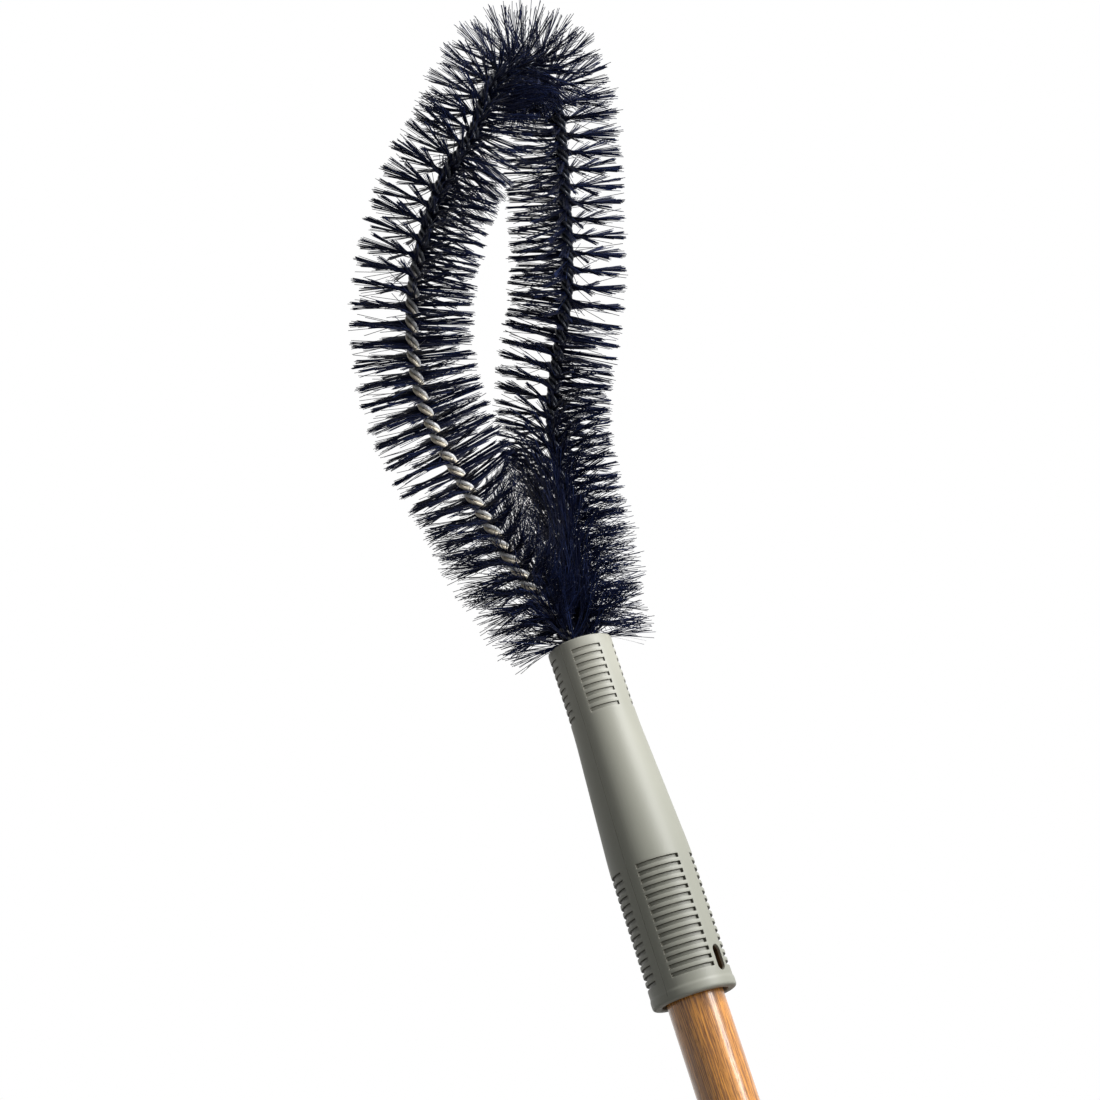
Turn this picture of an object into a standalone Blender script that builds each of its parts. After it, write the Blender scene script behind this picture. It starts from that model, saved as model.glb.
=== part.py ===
"""Duct brush: a bent loop of twisted wire and bristle in a push-on socket on a wooden pole.

The pole stands along +Z with its butt at the origin. The socket is pushed down over the
pole's top end. Two stems of twisted wire come out of the socket's neck and are one bent loop,
whose plane is the socket's parting plane (XZ) and whose upper half hooks over towards -Y.
Heights in the head are measured from the socket's mouth.
"""
import math

import bmesh
import bpy
import numpy as np
from mathutils import Matrix, Vector

MM = 0.001
COLLECTION = "duct_brush"
CUTTERS = "duct_brush_cutters"

# Fits between pieces
FIT_GAP = 0.3 * MM
CUT_OVERRUN = 2 * MM
MERGE_DISTANCE = 0.0001 * MM

# Pole
POLE_LENGTH = 900 * MM
POLE_DIAMETER = 24 * MM
POLE_EDGE = 1.5 * MM
POLE_SIDES = 32

# Socket: outer form
SOCKET_LENGTH = 156.5 * MM
BODY_DIAMETER = 35 * MM
NECK_DIAMETER = 28 * MM
TAPER_START = 59 * MM
TAPER_END = 119 * MM
TAPER_EASE = 7 * MM
LIP_HEIGHT = 4.2 * MM
LIP_STEP = 0.35 * MM
LIP_EDGE = 1.6 * MM
RIM_EDGE = 0.8 * MM
SOCKET_SIDES = 24

# Socket: bore, from the mouth to the neck
SEAT_DEPTH = 88 * MM
SEAT_CLEARANCE = 0.4 * MM
MOUTH_SLACK = 2 * MM
MOUTH_EDGE = 0.8 * MM
NECK_WALL = 3.7 * MM
LEDGE_DEPTH = 1.1 * MM
LEDGE_HEIGHT = 2.5 * MM

# Socket: four grip panels of grooves, low on the body and again round the neck
GROOVE_PITCH = 3.3 * MM
GROOVE_HEIGHT = 1.5 * MM
GROOVE_DEPTH = 0.9 * MM
BODY_GROOVE_COUNT = 15
BODY_GROOVE_FIRST = 9.5 * MM
NECK_GROOVE_COUNT = 9
NECK_GROOVE_FIRST = 124.8 * MM
PANELS = 4
BODY_PANEL_ANGLE = math.radians(62)
NECK_PANEL_ANGLE = math.radians(53)
PANEL_TURN = math.radians(45)
PANEL_STEPS = 3

# Socket: slot through the front wall, near the mouth
SLOT_WIDTH = 4.6 * MM
SLOT_LENGTH = 10.6 * MM
SLOT_CENTRE = 11.7 * MM
SLOT_EDGE = 0.5 * MM
SLOT_SIDES = 16

# Twisted core: four wires, two on each face of the sheet of filaments
WIRE_DIAMETER = 1.8 * MM
SHEET_THICKNESS = 0.3 * MM
WIRE_GAP = 0.7 * MM
SHEET_GAP = 0.5 * MM
TWIST_PITCH = 14.8 * MM
POINTS_PER_TURN = 5

# Loop: its reach from the socket's rim, its width across and how far it hooks forward
LOOP_HEIGHT = 239 * MM
LOOP_WIDTH = 82 * MM
LOOP_HOOK = 82 * MM
STEM_SPREAD = 4 * MM
STEM_LENGTH = 30 * MM
STEM_RISE = 1.5 * MM
ROUTE_STEP = 1 * MM

# Across (of the width), forward (of the hook) and up (of the height), chosen by hand
ROUTE_SHARES = (
    (-0.054, -0.009, 0.012),
    (-0.074, -0.031, 0.044),
    (-0.115, -0.062, 0.094),
    (-0.199, -0.101, 0.178),
    (-0.291, -0.116, 0.268),
    (-0.393, -0.124, 0.357),
    (-0.494, -0.113, 0.443),
    (-0.575, -0.050, 0.531),
    (-0.626, 0.061, 0.614),
    (-0.643, 0.200, 0.693),
    (-0.618, 0.360, 0.768),
    (-0.573, 0.527, 0.835),
    (-0.491, 0.715, 0.890),
    (-0.451, 0.840, 0.946),
    (-0.353, 0.948, 0.988),
    (-0.158, 0.999, 0.999),
    (0.004, 0.956, 0.972),
    (0.137, 0.820, 0.897),
    (0.219, 0.687, 0.822),
    (0.287, 0.561, 0.751),
    (0.342, 0.415, 0.669),
    (0.354, 0.270, 0.596),
    (0.338, 0.142, 0.519),
    (0.309, 0.066, 0.442),
    (0.272, 0.046, 0.361),
    (0.209, 0.037, 0.274),
    (0.148, 0.039, 0.186),
    (0.091, 0.033, 0.100),
    (0.062, 0.018, 0.040),
)

# Bristles: the fill is one strip of filaments, here in lengths along the core
BRISTLE_DIAMETER = 53 * MM
FILL_PIECES = 12
STATIONS_PER_TURN = 5
STRAND_WIDTH = 0.5 * MM
STRAND_FAN_SHARE = 3.6
ROOT_WIDTH = 0.5 * MM
SHORTEST_STRAND = 3 * MM
STRAND_GAP = 2.5 * MM
NEAR_ROUTE = 16 * MM
PROBE_STEP = 0.25 * MM

# Anchor in the neck: a moulded plug and a crimped sleeve on both stems below it
PLUG_LENGTH = 16 * MM
PLUG_RECESS = 2 * MM
SLEEVE_LENGTH = 8 * MM
SLEEVE_WALL = 1 * MM
ANCHOR_SIDES = 24

# Worked out from the above
MOUTH_HEIGHT = POLE_LENGTH - SEAT_DEPTH
BODY_RADIUS = BODY_DIAMETER / 2
NECK_RADIUS = NECK_DIAMETER / 2
POLE_RADIUS = POLE_DIAMETER / 2
WIRE_RADIUS = WIRE_DIAMETER / 2
NECK_BORE = NECK_RADIUS - NECK_WALL
PLUG_TOP = SOCKET_LENGTH - PLUG_RECESS
PLUG_BOTTOM = PLUG_TOP - PLUG_LENGTH
LEDGE_TOP = PLUG_BOTTOM - FIT_GAP
WIRE_ACROSS = WIRE_RADIUS + WIRE_GAP / 2
WIRE_OFF_SHEET = SHEET_THICKNESS / 2 + SHEET_GAP + WIRE_RADIUS
CORE_RADIUS = math.hypot(WIRE_ACROSS, WIRE_OFF_SHEET) + WIRE_RADIUS


def clear_scene():
    """Remove whatever the file holds."""
    for thing in list(bpy.data.objects):
        bpy.data.objects.remove(thing, do_unlink=True)
    for group in list(bpy.data.collections):
        bpy.data.collections.remove(group)


def make_collection(name):
    group = bpy.data.collections.new(name)
    bpy.context.scene.collection.children.link(group)
    return group


def material(name, colour, roughness, metallic=0.0):
    """A Principled material with the piece's own colour."""
    surface = bpy.data.materials.new(name)
    surface.use_nodes = True
    shader = surface.node_tree.nodes["Principled BSDF"]
    shader.inputs["Base Color"].default_value = (*colour, 1.0)
    shader.inputs["Roughness"].default_value = roughness
    shader.inputs["Metallic"].default_value = metallic
    return surface


def add_object(name, data, group, surface=None, parent=None):
    """Put a mesh or curve in the scene under a name, on its parent's place."""
    thing = bpy.data.objects.new(name, data)
    group.objects.link(thing)
    if surface:
        thing.data.materials.append(surface)
    if parent:
        thing.parent = parent
    return thing


def mesh_from(bm, name):
    """Close a bmesh into a mesh that is smooth but for its sharp edges."""
    bmesh.ops.recalc_face_normals(bm, faces=bm.faces)
    mesh = bpy.data.meshes.new(name)
    bm.to_mesh(mesh)
    bm.free()
    mesh.shade_smooth()
    mesh.set_sharp_from_angle(angle=math.radians(35))
    return mesh


def turned(name, profile, sides, group, surface=None, parent=None):
    """Turn a closed outline of (radius, height) points round Z with a Screw."""
    mesh = bpy.data.meshes.new(name)
    points = [(radius, 0, height) for radius, height in profile]
    links = [(i, (i + 1) % len(points)) for i in range(len(points))]
    mesh.from_pydata(points, links, [])
    thing = add_object(name, mesh, group, surface, parent)
    screw = thing.modifiers.new("turn", "SCREW")
    screw.axis = "Z"
    screw.steps = sides
    screw.render_steps = sides
    screw.use_merge_vertices = True
    screw.merge_threshold = MERGE_DISTANCE
    screw.use_smooth_shade = True
    return thing


def cut(thing, cutter, name):
    """Take a cutter out of a piece."""
    boolean = thing.modifiers.new(name, "BOOLEAN")
    boolean.operation = "DIFFERENCE"
    boolean.solver = "EXACT"
    boolean.object = cutter


def as_cutter(thing):
    thing.hide_render = True
    thing.display_type = "WIRE"
    return thing


def stadium(bm, half_width, half_length, sides, bottom, *levels):
    """A prism with round ends, long along Y. A level is a height and how far it is drawn out."""
    straight = half_length - half_width
    circle = bmesh.ops.create_circle(bm, cap_ends=True, radius=half_width, segments=sides,
                                     matrix=Matrix.Rotation(math.pi / sides, 4, "Z"))
    for vert in circle["verts"]:
        vert.co.y += math.copysign(straight, vert.co.y)
        vert.co.z = bottom
    cap = list(bm.faces)[0]
    for height, grown in levels:
        raised = bmesh.ops.extrude_face_region(bm, geom=[cap, *cap.edges])["geom"]
        cap = next(item for item in raised if isinstance(item, bmesh.types.BMFace))
        for vert in cap.verts:
            end = Vector((0, math.copysign(straight, vert.co.y)))
            way = (vert.co.xy - end).normalized()
            vert.co.xy = end + way * (half_width + grown)
            vert.co.z = height


def make_pole(group, surface):
    """Turned wooden pole with both ends lightly chamfered."""
    bm = bmesh.new()
    bmesh.ops.create_cone(bm, cap_ends=True, segments=POLE_SIDES, radius1=POLE_RADIUS,
                          radius2=POLE_RADIUS, depth=POLE_LENGTH,
                          matrix=Matrix.Translation((0, 0, POLE_LENGTH / 2)))
    pole = add_object("pole", mesh_from(bm, "pole"), group, surface)
    bevel = pole.modifiers.new("edge", "BEVEL")
    bevel.width = POLE_EDGE
    bevel.segments = 1
    bevel.limit_method = "ANGLE"
    bevel.angle_limit = math.radians(60)
    return pole


def eased_corner(before, corner, after, steps=3):
    """Round a corner of a profile with a parabola between its two tangent points."""
    points = []
    for i in range(steps + 1):
        t = i / steps
        a, b, c = (1 - t) ** 2, 2 * t * (1 - t), t ** 2
        points.append(tuple(a * p + b * q + c * r for p, q, r in zip(before, corner, after)))
    return points


def socket_profile():
    """Outer side from the rim down to the mouth, then the bore back up to the rim."""
    slope = (BODY_RADIUS - NECK_RADIUS) / (TAPER_END - TAPER_START)
    ease = TAPER_EASE
    lip = BODY_RADIUS + LIP_STEP
    bore_mouth = POLE_RADIUS + MOUTH_SLACK
    bore_seat = POLE_RADIUS + SEAT_CLEARANCE
    ledge = NECK_BORE - LEDGE_DEPTH
    ledge_foot = LEDGE_TOP - LEDGE_HEIGHT
    outer = [(NECK_RADIUS - RIM_EDGE, SOCKET_LENGTH), (NECK_RADIUS, SOCKET_LENGTH - RIM_EDGE)]
    outer += eased_corner((NECK_RADIUS, TAPER_END + ease), (NECK_RADIUS, TAPER_END),
                          (NECK_RADIUS + slope * ease, TAPER_END - ease))
    outer += eased_corner((BODY_RADIUS - slope * ease, TAPER_START + ease),
                          (BODY_RADIUS, TAPER_START), (BODY_RADIUS, TAPER_START - ease))
    outer += [(BODY_RADIUS, LIP_HEIGHT + LIP_STEP), (lip, LIP_HEIGHT)]
    outer += eased_corner((lip, LIP_EDGE), (lip, 0), (lip - LIP_EDGE, 0))
    bore = [(bore_mouth + MOUTH_EDGE, 0), (bore_mouth, MOUTH_EDGE),
            (bore_mouth, TAPER_START - ease), (bore_seat, SEAT_DEPTH),
            (NECK_BORE, TAPER_END), (NECK_BORE, ledge_foot - LEDGE_DEPTH),
            (ledge, ledge_foot), (ledge, LEDGE_TOP), (NECK_BORE, LEDGE_TOP),
            (NECK_BORE, SOCKET_LENGTH)]
    return outer + bore


def groove_cutter(name, radius, first, count, spread, turn, group, parent):
    """A stack of short ring pieces that cuts one panel's grooves."""
    bm = bmesh.new()
    inner, outer = radius - GROOVE_DEPTH, radius + CUT_OVERRUN
    start = turn - spread / 2
    for i in range(count):
        low = first + i * GROOVE_PITCH - GROOVE_HEIGHT / 2
        high = low + GROOVE_HEIGHT
        corners = ((inner, low), (outer, low), (outer, high), (inner, high))
        verts = [bm.verts.new((r * math.cos(start), r * math.sin(start), z)) for r, z in corners]
        face = bm.faces.new(verts)
        bmesh.ops.spin(bm, geom=[face, *face.edges, *verts], cent=(0, 0, 0), axis=(0, 0, 1),
                       angle=spread, steps=PANEL_STEPS, use_duplicate=False)
    return as_cutter(add_object(name, mesh_from(bm, name), group, parent=parent))


def make_socket(group, cutters, surface, head):
    """Moulded socket: tapered shell, eight groove panels and the slot near the mouth."""
    socket = turned("socket", socket_profile(), SOCKET_SIDES, group, surface, head)
    rows = (("body", BODY_RADIUS, BODY_GROOVE_FIRST, BODY_GROOVE_COUNT, BODY_PANEL_ANGLE),
            ("neck", NECK_RADIUS, NECK_GROOVE_FIRST, NECK_GROOVE_COUNT, NECK_PANEL_ANGLE))
    for place, radius, first, count, spread in rows:
        for panel in range(PANELS):
            turn = PANEL_TURN + panel * 2 * math.pi / PANELS
            name = f"{place}_grooves_{panel + 1}"
            cutter = groove_cutter(name, radius, first, count, spread, turn, cutters, head)
            cut(socket, cutter, name)
    bm = bmesh.new()
    flare = SLOT_EDGE + CUT_OVERRUN
    stadium(bm, SLOT_WIDTH / 2, SLOT_LENGTH / 2, SLOT_SIDES,
            0, (BODY_RADIUS - SLOT_EDGE, 0), (BODY_RADIUS + CUT_OVERRUN, flare))
    slot = as_cutter(add_object("slot", mesh_from(bm, "slot"), cutters, parent=head))
    slot.location = (0, 0, SLOT_CENTRE)
    slot.rotation_euler = (math.radians(90), 0, 0)
    cut(socket, slot, "slot")
    return socket


def route_points():
    """Hand-picked points of the loop, with a straight stem at each end."""
    stem_foot = SOCKET_LENGTH - STEM_LENGTH
    heights = np.linspace(stem_foot, PLUG_TOP, 5)
    left = [(-STEM_SPREAD, 0, z) for z in heights]
    right = [(STEM_SPREAD, 0, z) for z in reversed(heights)]
    loop = [(x * LOOP_WIDTH, -y * LOOP_HOOK, SOCKET_LENGTH + z * LOOP_HEIGHT)
            for x, y, z in ROUTE_SHARES]
    return np.array(left + loop + right)


def smooth_curve(points, samples=4000):
    """Natural cubic spline through the points, by chord length."""
    gaps = np.linalg.norm(np.diff(points, axis=0), axis=1)
    at = np.concatenate(([0.0], np.cumsum(gaps)))
    n = len(points)
    system = np.eye(n)
    right = np.zeros_like(points)
    for i in range(1, n - 1):
        system[i, i - 1:i + 2] = gaps[i - 1], 2 * (gaps[i - 1] + gaps[i]), gaps[i]
        right[i] = 6 * ((points[i + 1] - points[i]) / gaps[i]
                        - (points[i] - points[i - 1]) / gaps[i - 1])
    bend = np.linalg.solve(system, right)
    where = np.linspace(0, at[-1], samples)
    k = np.clip(np.searchsorted(at, where, side="right") - 1, 0, n - 2)
    h = gaps[k][:, None]
    a = (at[k + 1] - where)[:, None] / h
    b = 1 - a
    return (a * points[k] + b * points[k + 1]
            + ((a ** 3 - a) * bend[k] + (b ** 3 - b) * bend[k + 1]) * h ** 2 / 6)


class Core:
    """The loop's centreline with a frame that turns with the twist of the wires."""

    def __init__(self):
        dense = smooth_curve(route_points())
        steps = np.linalg.norm(np.diff(dense, axis=0), axis=1)
        self.run = np.concatenate(([0.0], np.cumsum(steps)))
        self.length = self.run[-1]
        self.dense = dense
        tangent = np.gradient(dense, axis=0)
        self.tangent = tangent / np.linalg.norm(tangent, axis=1)[:, None]
        side = np.empty_like(dense)
        side[0] = (1, 0, 0)
        for i in range(1, len(dense)):
            flat = side[i - 1] - self.tangent[i] * side[i - 1].dot(self.tangent[i])
            side[i] = flat / np.linalg.norm(flat)
        self.side = side

    def at(self, run):
        """Centre, tangent and the sheet's direction at a distance along the route."""
        pick = [np.array([np.interp(run, self.run, column) for column in table.T])
                for table in (self.dense, self.tangent, self.side)]
        centre, tangent, side = pick
        tangent = tangent / np.linalg.norm(tangent)
        side = side - tangent * side.dot(tangent)
        side = side / np.linalg.norm(side)
        turn = -2 * math.pi * run / TWIST_PITCH
        across = side * math.cos(turn) + np.cross(tangent, side) * math.sin(turn)
        return centre, tangent, across

    def run_above(self, height):
        """Where the route first and last passes a height."""
        over = np.flatnonzero(self.dense[:, 2] > height)
        return self.run[over[0]], self.run[over[-1]]


def wire_points(core, across, off_sheet):
    """One wire's path: a left-handed helix round the bent centreline."""
    count = round(core.length / TWIST_PITCH * POINTS_PER_TURN) + 1
    points = []
    for run in np.linspace(0, core.length, count):
        centre, tangent, sheet = core.at(run)
        normal = np.cross(tangent, sheet)
        points.append(centre + sheet * across + normal * off_sheet)
    return np.array(points)


def make_wire(name, points, group, surface, head):
    """A wire of the core as one tube."""
    curve = bpy.data.curves.new(name, "CURVE")
    curve.dimensions = "3D"
    curve.bevel_depth = WIRE_RADIUS
    curve.bevel_resolution = 0
    curve.use_fill_caps = True
    spline = curve.splines.new("POLY")
    spline.points.add(len(points) - 1)
    for place, point in zip(points, spline.points):
        point.co = (*place, 1)
    return add_object(name, curve, group, surface, head)


def strand_length(core, centre, tip_way, own, route, route_run):
    """How far a strand reaches before it nears another stretch, or the socket."""
    away = route[np.abs(route_run - own) > NEAR_ROUTE]
    reach = BRISTLE_DIAMETER / 2
    rim, keep_out = SOCKET_LENGTH + STRAND_GAP, NECK_RADIUS + STRAND_GAP
    for t in np.arange(SHORTEST_STRAND, reach, PROBE_STEP):
        point = centre + tip_way * t
        near = np.linalg.norm(away - point, axis=1).min()
        in_socket = point[2] < rim and math.hypot(point[0], point[1]) < keep_out
        if near < t + STRAND_GAP or in_socket:
            return t - PROBE_STEP
    return reach


def ring(bm, core, run):
    """Four corners of the pinched middle of the filaments, turned with the twist."""
    centre, tangent, sheet = core.at(run)
    normal = np.cross(tangent, sheet)
    half, thin = ROOT_WIDTH / 2, SHEET_THICKNESS / 2
    corners = ((half, thin), (-half, thin), (-half, -thin), (half, -thin))
    return [bm.verts.new(centre + sheet * u + normal * v) for u, v in corners]


def draw_strand(bm, face, way, length):
    """Pull a face of the middle out into a strand, a tuft that fans out to its tip."""
    grown = bmesh.ops.extrude_discrete_faces(bm, faces=[face])["faces"][0]
    centre = grown.calc_center_median()
    tip = centre + Vector(way) * (length - ROOT_WIDTH / 2)
    for vert in grown.verts:
        vert.co = tip + (vert.co - centre) * STRAND_FAN_SHARE


def make_bristles(name, core, stations, ends, route, route_run, group, surface, head):
    """One length of the fill: the filaments' pinched middle and its strands, in one body."""
    bm = bmesh.new()
    rings = [(ends[0], None)]
    for run in stations:
        rings += [(run - STRAND_WIDTH / 2, None), (run + STRAND_WIDTH / 2, run)]
    rings.append((ends[1], None))
    before = None
    strands = []
    for run, station in rings:
        now = ring(bm, core, run)
        if before:
            sides = [bm.faces.new((before[k], before[(k + 1) % 4], now[(k + 1) % 4], now[k]))
                     for k in range(4)]
            if station is not None:
                strands += [(station, sides[1], -1), (station, sides[3], 1)]
        else:
            bm.faces.new(reversed(now))
        before = now
    bm.faces.new(before)
    bm.normal_update()
    count = 0
    for station, face, way in strands:
        centre, _, sheet = core.at(station)
        length = strand_length(core, centre, sheet * way, station, route, route_run)
        if length > SHORTEST_STRAND:
            draw_strand(bm, face, sheet * way, length)
            count += 1
    add_object(name, mesh_from(bm, name), group, surface, head)
    return count


def make_fill(core, group, surface, head):
    """The strip of bristle along the whole loop, in lengths that lie end to end."""
    first, last = core.run_above(SOCKET_LENGTH + STEM_RISE)
    route_run = np.arange(first, last, ROUTE_STEP)
    route = np.array([core.at(run)[0] for run in route_run])
    station_gap = TWIST_PITCH / STATIONS_PER_TURN
    per_length = int((last - first) / station_gap / FILL_PIECES)
    station_gap = (last - first) / (per_length * FILL_PIECES)
    total = 0
    for i in range(FILL_PIECES):
        start = first + i * per_length * station_gap
        end = start + per_length * station_gap - FIT_GAP
        stations = [start + (j + 0.5) * station_gap for j in range(per_length)]
        total += make_bristles(f"bristles_{i + 1:02d}", core, stations, (start, end), route,
                               route_run, group, surface, head)
    return total


def make_plug(group, cutters, surface, head):
    """Moulded plug on the neck's ledge, with a hole for each stem."""
    hole = CORE_RADIUS + FIT_GAP
    radius = NECK_BORE - FIT_GAP
    bm = bmesh.new()
    middle = Matrix.Translation((0, 0, (PLUG_TOP + PLUG_BOTTOM) / 2))
    bmesh.ops.create_cone(bm, cap_ends=True, segments=ANCHOR_SIDES, radius1=radius,
                          radius2=radius, depth=PLUG_LENGTH, matrix=middle)
    plug = add_object("stem_plug", mesh_from(bm, "stem_plug"), group, surface, head)
    for name, side in (("left_stem_hole", -1), ("right_stem_hole", 1)):
        bm = bmesh.new()
        bmesh.ops.create_cone(bm, cap_ends=True, segments=ANCHOR_SIDES // 2, radius1=hole,
                              radius2=hole, depth=PLUG_LENGTH + 2 * CUT_OVERRUN, matrix=middle)
        cutter = as_cutter(add_object(name, mesh_from(bm, name), cutters, parent=head))
        cutter.location = (side * STEM_SPREAD, 0, 0)
        cut(plug, cutter, name)
    return plug


def make_sleeve(group, cutters, surface, head):
    """Steel sleeve crimped round both stems under the plug."""
    half_width = CORE_RADIUS + FIT_GAP
    half_length = STEM_SPREAD + half_width
    top = PLUG_BOTTOM - FIT_GAP
    bottom = top - SLEEVE_LENGTH
    bm = bmesh.new()
    stadium(bm, half_width + SLEEVE_WALL, half_length + SLEEVE_WALL, ANCHOR_SIDES,
            bottom, (top, 0))
    sleeve = add_object("stem_sleeve", mesh_from(bm, "stem_sleeve"), group, surface, head)
    bm = bmesh.new()
    stadium(bm, half_width, half_length, ANCHOR_SIDES,
            bottom - CUT_OVERRUN, (top + CUT_OVERRUN, 0))
    bore = as_cutter(add_object("sleeve_bore", mesh_from(bm, "sleeve_bore"), cutters, parent=head))
    for thing in (sleeve, bore):
        thing.rotation_euler = (0, 0, math.radians(90))
    cut(sleeve, bore, "sleeve_bore")
    return sleeve


def print_gaps(core, wires):
    """Least clear gaps on the wires' points: between two wires, and from a wire to its own turns."""
    between = min(np.linalg.norm(a - b, axis=1).min()
                  for i, a in enumerate(wires) for b in wires[i + 1:])
    own = []
    for points in wires:
        for i in range(len(points) - POINTS_PER_TURN):
            own.append(np.linalg.norm(points[i + POINTS_PER_TURN:] - points[i], axis=1).min())
    print(f"loop {core.length / MM:.0f} mm, {core.length / TWIST_PITCH:.1f} turns")
    print(f"least gap between wires {(between - WIRE_DIAMETER) / MM:.2f} mm")
    print(f"least gap of a wire to its own turns {(min(own) - WIRE_DIAMETER) / MM:.2f} mm")


def main():
    clear_scene()
    parts = make_collection(COLLECTION)
    cutters = make_collection(CUTTERS)
    wood = material("varnished_wood", (0.50, 0.27, 0.12), 0.35)
    plastic = material("grey_plastic", (0.33, 0.33, 0.29), 0.5)
    steel = material("galvanised_wire", (0.55, 0.54, 0.50), 0.4, 0.9)
    filament = material("navy_filament", (0.012, 0.014, 0.035), 0.45)
    black = material("black_plastic", (0.03, 0.03, 0.03), 0.5)

    head = bpy.data.objects.new("head", None)
    head.location = (0, 0, MOUTH_HEIGHT)
    parts.objects.link(head)

    make_pole(parts, wood)
    make_socket(parts, cutters, plastic, head)
    make_plug(parts, cutters, black, head)
    make_sleeve(parts, cutters, steel, head)

    core = Core()
    places = ((WIRE_ACROSS, WIRE_OFF_SHEET), (-WIRE_ACROSS, WIRE_OFF_SHEET),
              (-WIRE_ACROSS, -WIRE_OFF_SHEET), (WIRE_ACROSS, -WIRE_OFF_SHEET))
    wires = [wire_points(core, across, off_sheet) for across, off_sheet in places]
    for i, points in enumerate(wires):
        make_wire(f"wire_{i + 1}", points, parts, steel, head)
    strands = make_fill(core, parts, filament, head)
    print(f"{strands} strands")
    print_gaps(core, wires)


main()
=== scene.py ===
"""Duct brush: the finished pieces and the studio that they stand in.

The pole stands along +Z. Heights in the head are measured from the socket's mouth. The fill
and the core's wires follow one bent route, whose points are kept as shares of the loop's
width, hook and height.
"""
import math

import bmesh
import bpy
import numpy as np
from bpy.props import FloatProperty, FloatVectorProperty, IntProperty, PointerProperty
from mathutils import Matrix, Vector


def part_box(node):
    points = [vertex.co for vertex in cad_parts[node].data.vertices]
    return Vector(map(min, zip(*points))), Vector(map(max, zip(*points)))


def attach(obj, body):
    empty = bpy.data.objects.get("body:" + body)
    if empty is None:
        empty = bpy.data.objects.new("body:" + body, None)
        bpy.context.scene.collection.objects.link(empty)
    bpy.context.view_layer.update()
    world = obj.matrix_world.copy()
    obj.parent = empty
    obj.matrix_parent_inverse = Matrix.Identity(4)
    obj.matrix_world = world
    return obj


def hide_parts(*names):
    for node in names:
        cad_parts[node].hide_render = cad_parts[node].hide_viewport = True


bl_info = {
    "name": "Duct brush",
    "version": (1, 0, 0),
    "blender": (4, 5, 0),
    "location": "3D View > Sidebar > Duct brush",
    "description": "Makes the finished pieces of a duct brush",
    "category": "Object",
}

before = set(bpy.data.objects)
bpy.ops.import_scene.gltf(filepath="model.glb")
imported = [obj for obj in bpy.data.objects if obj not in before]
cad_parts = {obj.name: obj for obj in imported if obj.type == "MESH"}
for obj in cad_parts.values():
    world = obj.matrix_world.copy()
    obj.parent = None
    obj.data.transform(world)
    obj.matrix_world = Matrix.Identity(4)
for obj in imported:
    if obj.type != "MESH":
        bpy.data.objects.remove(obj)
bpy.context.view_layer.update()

MM = 0.001
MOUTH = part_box("socket")[0].z
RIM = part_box("socket")[1].z
POLE_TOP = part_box("pole")[1].z
POLE_DIAMETER = 2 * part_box("pole")[1].y

# The other stretch of the loop presses on the fill: not yet when far, fully when near
CROWD_APART = 60 * MM
CROWD_FAR = 58 * MM
CROWD_NEAR = 25 * MM

# Filaments that point this way are combed back along the route, high in the loop
COMB_WAY = Vector((0.78, 0.54, 0.33)).normalized()
COMB_START = 135 * MM
COMB_FULL = 165 * MM

# Filaments that point this way are swept up, low in the loop. Each branch has the heights
# over the rim where that starts, is full and ends, going up
SWEEP_WAY = Vector((-0.62, 0.73, 0.30)).normalized()
FIRST_SWEEP = (-15 * MM, 25 * MM, 115 * MM)
FIRST_SHARE = 0.85
LAST_SWEEP = (5 * MM, 55 * MM, 165 * MM)

# Just over the rim, filaments that point this way or away stand up, bent by the socket
FOOT_WAY = Vector((-0.78, -0.54, 0.33)).normalized()
FOOT_START = 13 * MM
FOOT_FULL = 3 * MM

# The wires are bright from the first stem on, and painted darker from here on along the route:
# painted shade, where the fill covers and shades them
FILL_SHADE_START = 140 * MM
FILL_SHADE_FULL = 230 * MM

# Both stems are painted darker between these heights over the rim: painted shade, where the fill
# covers them
STUB_SHADE_START = 15 * MM
STUB_SHADE_FULL = 9 * MM
STUB_SHADE_SHARE = 0.85

# A filament's length, and its pull to its tuft, each between two shares of the usual one
LENGTH_RANGE = (0.955, 1.02)
PULL_RANGE = (0.7, 1.1)

# How much more a crowded or stray filament leans, and how much shorter a pressed one is
LEANS_MORE = 2
PRESSED_SHORTER = 0.3

# How much of the tangle a bend of the route makes by itself
CURL_SHARE = 0.4

# Powers of the way along a filament by which it bends to its tuft and strays
DRAWN_POWER = 1.3
STRAY_POWER = 2

# Half the width of the parting line's flat top, as seen from the axis, and the columns beside
# it in the same measure: the top's edge, its foot, and two more that keep the wall round
PARTING = math.radians(0.3)
PARTING_MARKS = (1, 3, 4, 5)

# How closely the fill's route is read, the points of each stem, the sides of a filament, and
# how many seeds each length of the fill has
ROUTE_STEP = 1 * MM
STEM_POINTS = 5
STRAND_SIDES = 3
SEEDS_EACH = 10

# The largest facets down and round the socket's wall, and along the pole
WALL_STEP = 2.5 * MM
WALL_TURN = math.radians(3.2)
POLE_STEP = 30 * MM

# Edges sharper than these are shaded sharp, on the socket and on the pole
SOCKET_SHARP = math.radians(38)
POLE_SHARP = math.radians(40)

# Shares of the slot's chamfer: how deep it starts and turns, then how wide the cutter is at
# that turn and, less its overrun, at its outer end
CHAMFER_DEPTHS = (1.4, 0.6)
CHAMFER_WIDTHS = (0.25, 0.6)

# How far the fine relief of each surface stands out
WIRE_RELIEF = 0.05 * MM
MOULDED_RELIEF = 0.04 * MM
WOOD_RELIEF = 0.05 * MM
SLEEVE_RELIEF = 0.03 * MM

# Noise lies mostly between these two levels
NOISE_LOW, NOISE_HIGH = 0.3, 0.7

# Power that leaves most filaments dark and a few pale
GLINT_POWER = 4

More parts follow.
